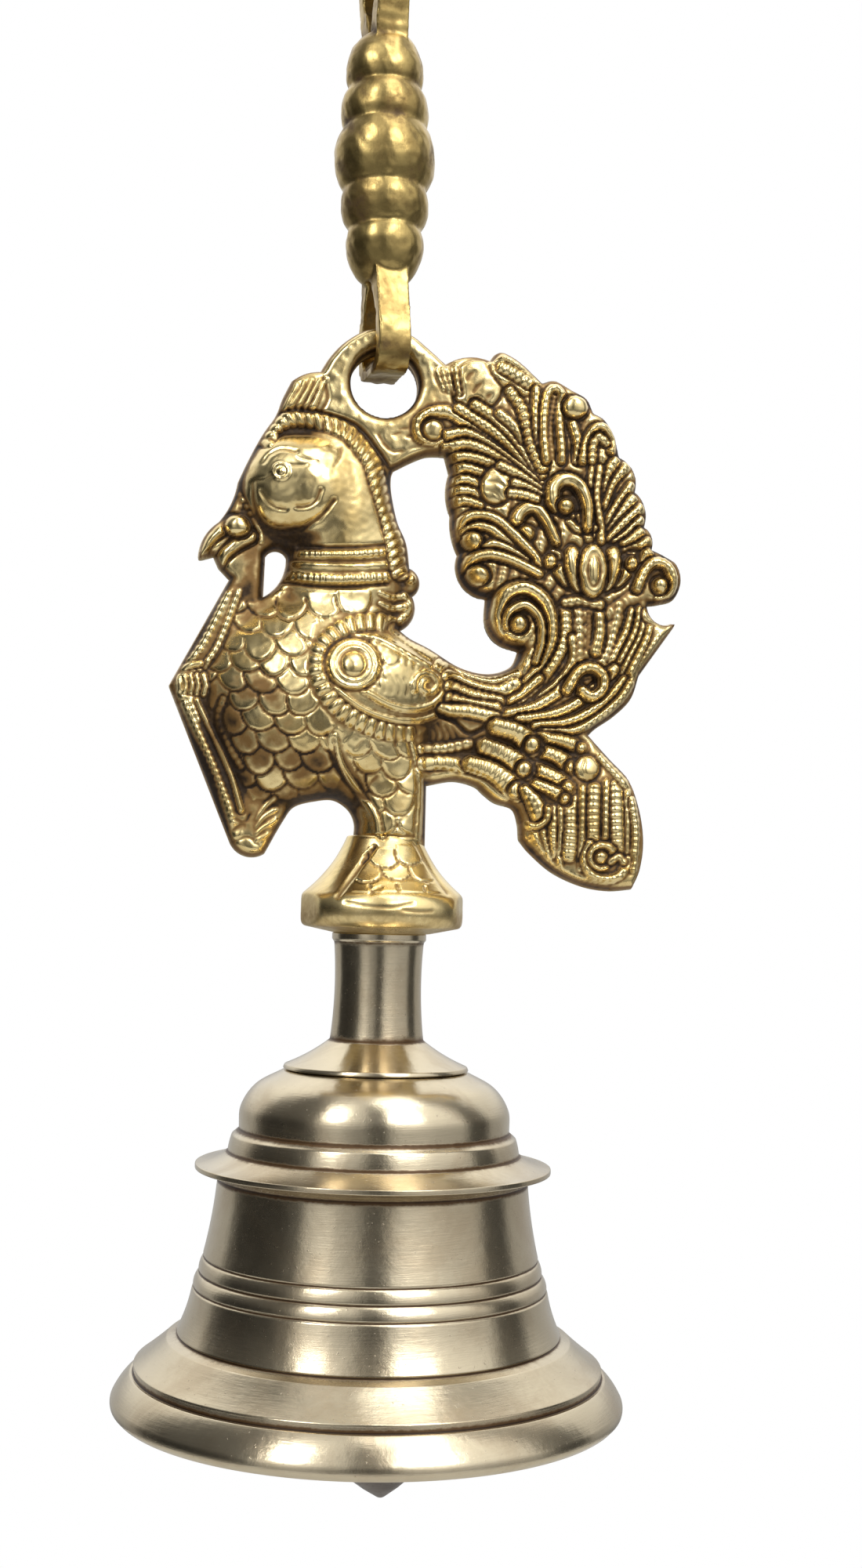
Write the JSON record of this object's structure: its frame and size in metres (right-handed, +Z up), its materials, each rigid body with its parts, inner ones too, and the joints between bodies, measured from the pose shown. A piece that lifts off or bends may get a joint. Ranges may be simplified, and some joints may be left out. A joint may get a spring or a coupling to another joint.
{
  "type": "hanging brass puja bell",
  "caption": "Hanging brass temple bell on a pierced bird handle, carried by a turned chain link, with a swinging pear clapper inside.",
  "frame": {"origin": "centre of the round hole in the link's upper eye, where the bell is hung", "axes": "+Z up; the bird's flat side faces -Y and its beak points to -X"},
  "size_m": [0.1277, 0.1136, 0.3516],
  "materials": {
    "link_brass": "cast and turned yellow brass, satin, dark in the hollows",
    "bird_brass": "cast brass, chased and rubbed bright, brown patina in the recesses",
    "bell_brass": "lathe-turned pale brass, satin with fine turning lines",
    "bolt_steel": "plain steel, dull",
    "clapper_iron": "dark turned iron, worn at the waist"
  },
  "bodies": {
    "link": {"baluster_link": "link_brass"},
    "bell": {"bird_handle": "bird_brass", "neck_sleeve": "bell_brass", "bell_shell": "bell_brass", "eye_bolt": "bolt_steel", "crown_washer": "bolt_steel", "crown_nut": "bolt_steel"},
    "clapper_hook": {"clapper_ring": "bolt_steel"},
    "clapper": {"clapper_rod": "bolt_steel", "clapper_bob": "clapper_iron"}
  },
  "joints": [
    {"name": "bell_swing", "type": "hinge", "parent": "link", "child": "bell", "pos_m": [0, 0, -0.0882], "axis": [0, 1, 0], "range_deg": [-35, 35]},
    {"name": "ring_turn", "type": "hinge", "parent": "bell", "child": "clapper_hook", "pos_m": [-0.00214, 0, -0.26578], "axis": [0, 0, 1], "range_deg": [-30, 30]},
    {"name": "clapper_swing", "type": "hinge", "parent": "clapper_hook", "child": "clapper", "pos_m": [-0.00214, 0, -0.27618], "axis": [0, 1, 0], "range_deg": [-32, 38]}
  ]
}
